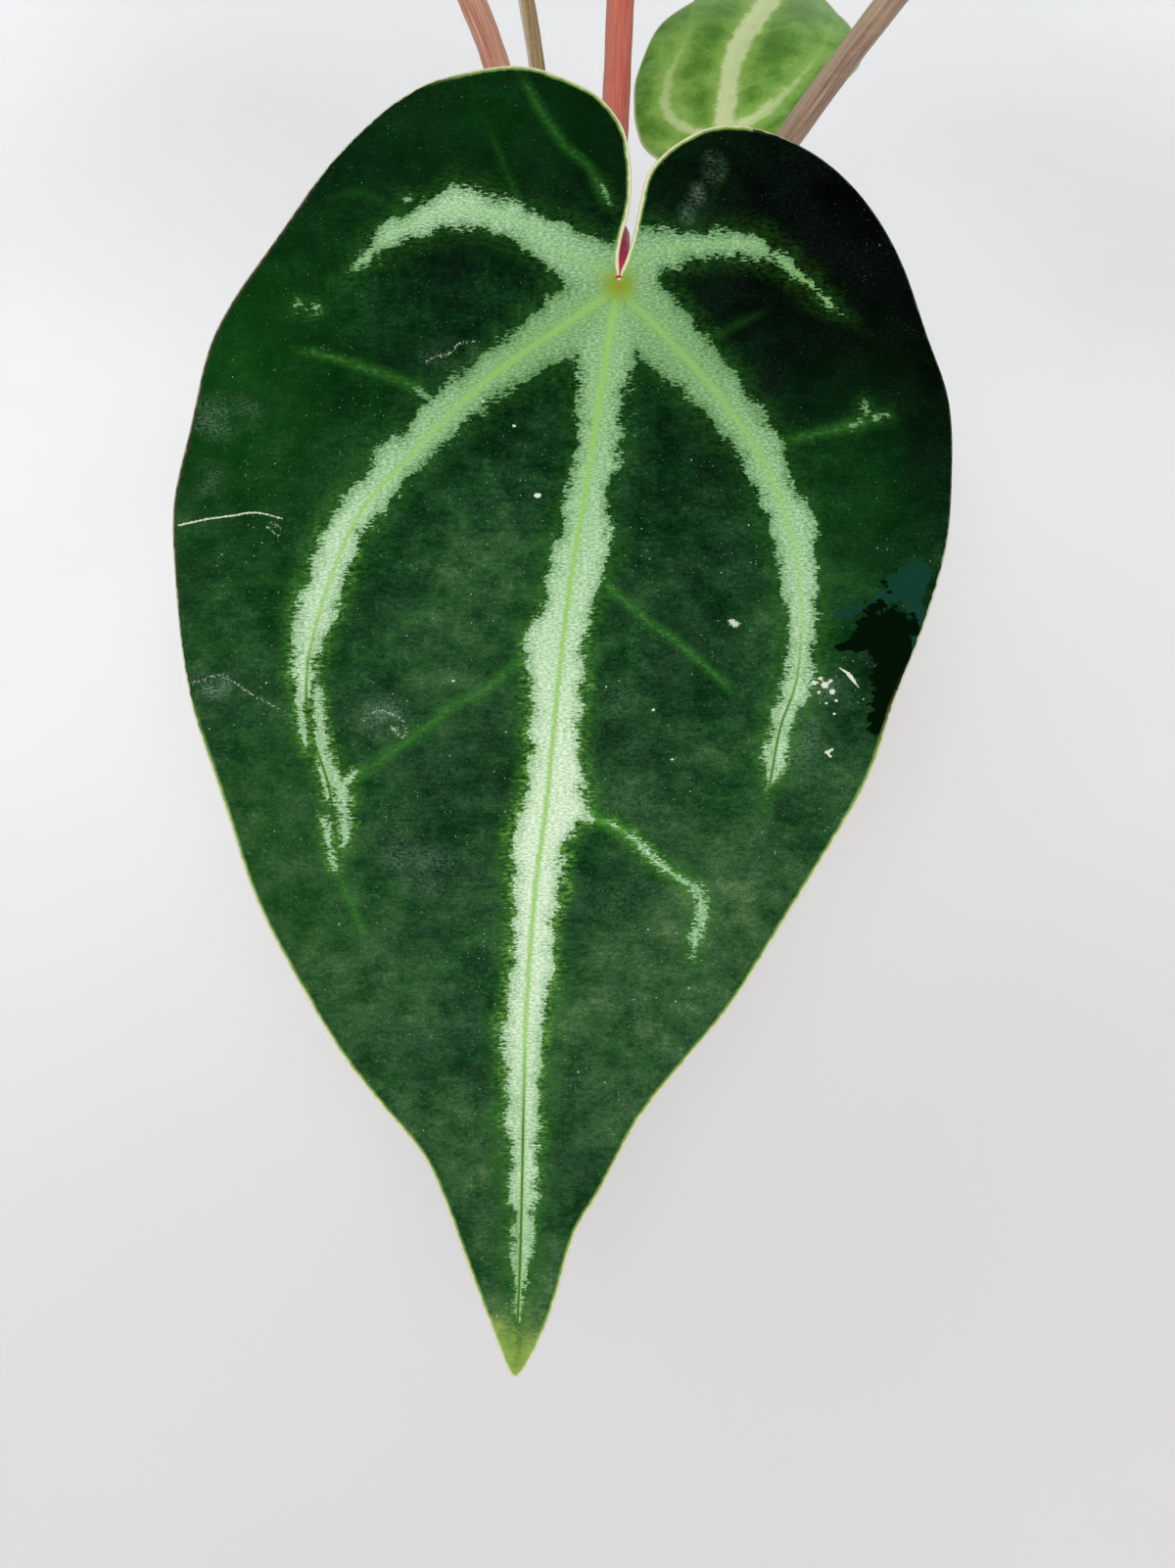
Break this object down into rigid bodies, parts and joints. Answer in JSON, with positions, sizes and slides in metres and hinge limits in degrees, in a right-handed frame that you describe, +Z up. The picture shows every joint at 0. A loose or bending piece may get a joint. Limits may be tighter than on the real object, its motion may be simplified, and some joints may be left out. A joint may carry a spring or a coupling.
{
  "type": "potted anthurium hybrid",
  "caption": "Potted aroid house plant: long-stalked heart-shaped velvety dark green leaves with silver vein bands, on a short rooted stem in a plain round clay pot.",
  "frame": {"origin": "centre of the pot's underside, on the surface it stands on", "axes": "+Z up; -Y towards the tip of the largest blade, which hangs forward; +X to the right seen from its upper face"},
  "size_m": [0.4017, 0.4073, 0.3266],
  "materials": {
    "clay": "matte",
    "potting_mix": "matte",
    "stem": "matte",
    "dry_sheath": "matte",
    "blade_main": "satin",
    "stalk_main": "satin",
    "blade_right": "satin",
    "stalk_right": "satin",
    "blade_back": "satin",
    "stalk_back": "satin",
    "blade_left": "satin",
    "stalk_left": "satin",
    "blade_small": "satin",
    "stalk_small": "satin",
    "blade_young": "satin",
    "stalk_young": "satin"
  },
  "bodies": {
    "root": {"pot": "clay", "potting_mix": "potting_mix", "stem": "stem", "dry_sheath_1": "dry_sheath", "dry_sheath_2": "dry_sheath", "dry_sheath_3": "dry_sheath", "blade_main": "blade_main", "stalk_main": "stalk_main", "blade_right": "blade_right", "stalk_right": "stalk_right", "blade_back": "blade_back", "stalk_back": "stalk_back", "blade_left": "blade_left", "stalk_left": "stalk_left", "blade_small": "blade_small", "stalk_small": "stalk_small", "blade_young": "blade_young", "stalk_young": "stalk_young"}
  },
  "joints": []
}
